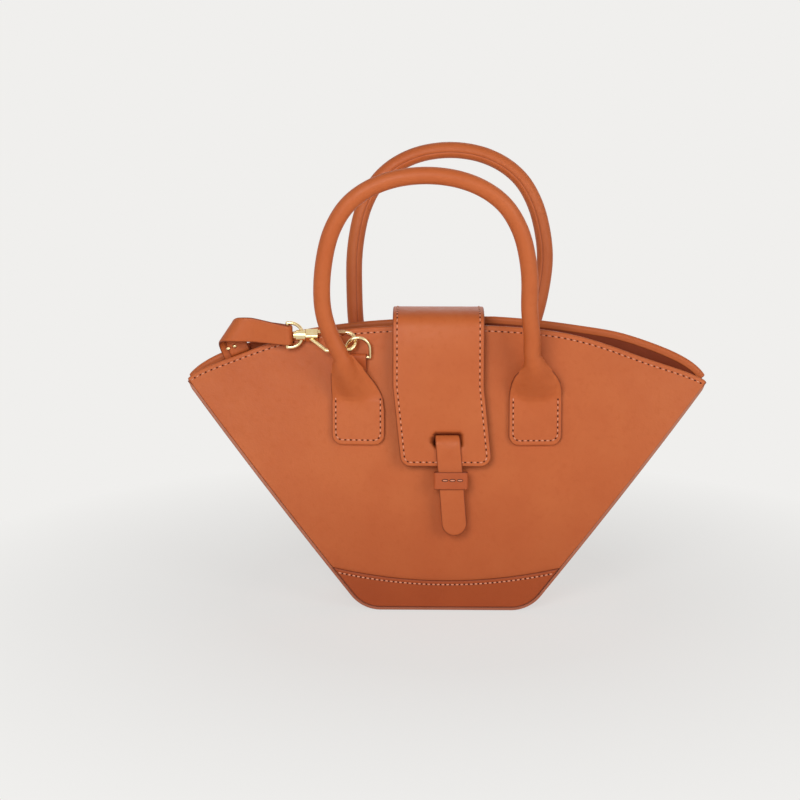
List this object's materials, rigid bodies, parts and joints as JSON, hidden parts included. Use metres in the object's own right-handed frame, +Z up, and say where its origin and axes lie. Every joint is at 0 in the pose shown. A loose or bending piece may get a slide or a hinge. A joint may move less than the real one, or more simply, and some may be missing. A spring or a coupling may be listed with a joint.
{
  "type": "trapeze bag",
  "caption": "Fan-shaped leather handbag with rolled top handles, a closing flap with a tongue, and a hooked-on shoulder strap coiled inside.",
  "frame": {"origin": "middle of the base where the bag stands on the floor", "axes": "+X to the viewer's right along the bag, +Y from the flap's front to the back, +Z up"},
  "size_m": [0.2978, 0.0916, 0.2638],
  "materials": {
    "tan_leather": "smooth tan leather with a soft sheen",
    "shaded_leather": "tan leather, a shade darker on the small cut strips",
    "lining": "dark brown woven lining",
    "board": "plain stiff fibre board",
    "core": "cotton cord that fills the rolled handles",
    "pale_gold": "polished pale gold",
    "plain_steel": "nickel-plated steel"
  },
  "bodies": {
    "bag": {"front_panel": "tan_leather", "back_panel": "tan_leather", "front_stiffener": "board", "back_stiffener": "board", "front_lining": "lining", "back_lining": "lining", "front_top_facing": "tan_leather", "back_top_facing": "tan_leather", "side_gusset_left": "tan_leather", "side_gusset_right": "tan_leather", "gusset_lining_left": "lining", "gusset_lining_right": "lining", "base_panel": "tan_leather", "base_board": "board", "base_lining": "lining", "front_base_band": "tan_leather", "back_base_band": "tan_leather", "front_welt": "tan_leather", "back_welt": "tan_leather", "front_handle_tab_left": "tan_leather", "front_handle_tab_right": "tan_leather", "back_handle_tab_left": "tan_leather", "back_handle_tab_right": "tan_leather", "front_ring_loop": "shaded_leather", "back_ring_loop": "shaded_leather", "flap_anchor": "tan_leather", "snap_socket": "plain_steel", "snap_backing": "plain_steel", "strap_eye": "pale_gold", "shoulder_strap": "tan_leather", "strap_rivets": "pale_gold", "spare_eye": "pale_gold"},
    "flap": {"flap": "tan_leather", "flap_lining": "lining", "tongue": "tan_leather", "tongue_keeper": "shaded_leather", "snap_stud": "plain_steel"},
    "front_handle": {"front_handle": "tan_leather", "front_handle_core": "core"},
    "back_handle": {"back_handle": "tan_leather", "back_handle_core": "core"},
    "front_ring": {"front_d_ring": "pale_gold"},
    "back_ring": {"back_d_ring": "pale_gold"},
    "front_hook": {"hook_body": "pale_gold", "hook_gate_pin": "pale_gold", "hook_gate_spring": "plain_steel"},
    "front_gate": {"hook_gate": "pale_gold"},
    "spare_hook": {"spare_hook_body": "pale_gold", "spare_gate_pin": "pale_gold", "spare_gate_spring": "plain_steel"},
    "spare_gate": {"spare_hook_gate": "pale_gold"}
  },
  "joints": [
    {"name": "flap_hinge", "type": "hinge", "parent": "bag", "child": "flap", "pos_m": [0, 0.01545, 0.1635], "axis": [-1, 0, 0], "range_deg": [0, 105]},
    {"name": "front_handle_fold", "type": "hinge", "parent": "bag", "child": "front_handle", "pos_m": [0, -0.0285, 0.148], "axis": [1, 0, 0], "range_deg": [-16, 85]},
    {"name": "back_handle_fold", "type": "hinge", "parent": "bag", "child": "back_handle", "pos_m": [0, 0.0285, 0.148], "axis": [-1, 0, 0], "range_deg": [-16, 85]},
    {"name": "front_ring_swing", "type": "hinge", "parent": "bag", "child": "front_ring", "pos_m": [-0.05, -0.01668, 0.1458], "axis": [1, 0, 0], "range_deg": [0, 2]},
    {"name": "back_ring_swing", "type": "hinge", "parent": "bag", "child": "back_ring", "pos_m": [0.05, 0.01668, 0.1458], "axis": [-1, 0, 0], "range_deg": [0, 35]},
    {"name": "front_hook_swivel", "type": "hinge", "parent": "bag", "child": "front_hook", "pos_m": [-0.0798, -0.0146, 0.158], "axis": [1, 0, 0], "range_deg": [0, 3]},
    {"name": "front_gate_spring", "type": "hinge", "parent": "front_hook", "child": "front_gate", "pos_m": [-0.0758, -0.01355, 0.15934], "axis": [0, 0.788, -0.6157], "range_deg": [0, 24], "stiffness_Nm_per_rad": 0.02, "springref_deg": -28.65},
    {"name": "spare_hook_swivel", "type": "hinge", "parent": "bag", "child": "spare_hook", "pos_m": [0.0122, 0, 0.0297], "axis": [1, 0, 0], "continuous": true},
    {"name": "spare_gate_spring", "type": "hinge", "parent": "spare_hook", "child": "spare_gate", "pos_m": [0.0162, 0, 0.0314], "axis": [0, 1, 0], "range_deg": [0, 24], "stiffness_Nm_per_rad": 0.02, "springref_deg": -28.65}
  ]
}
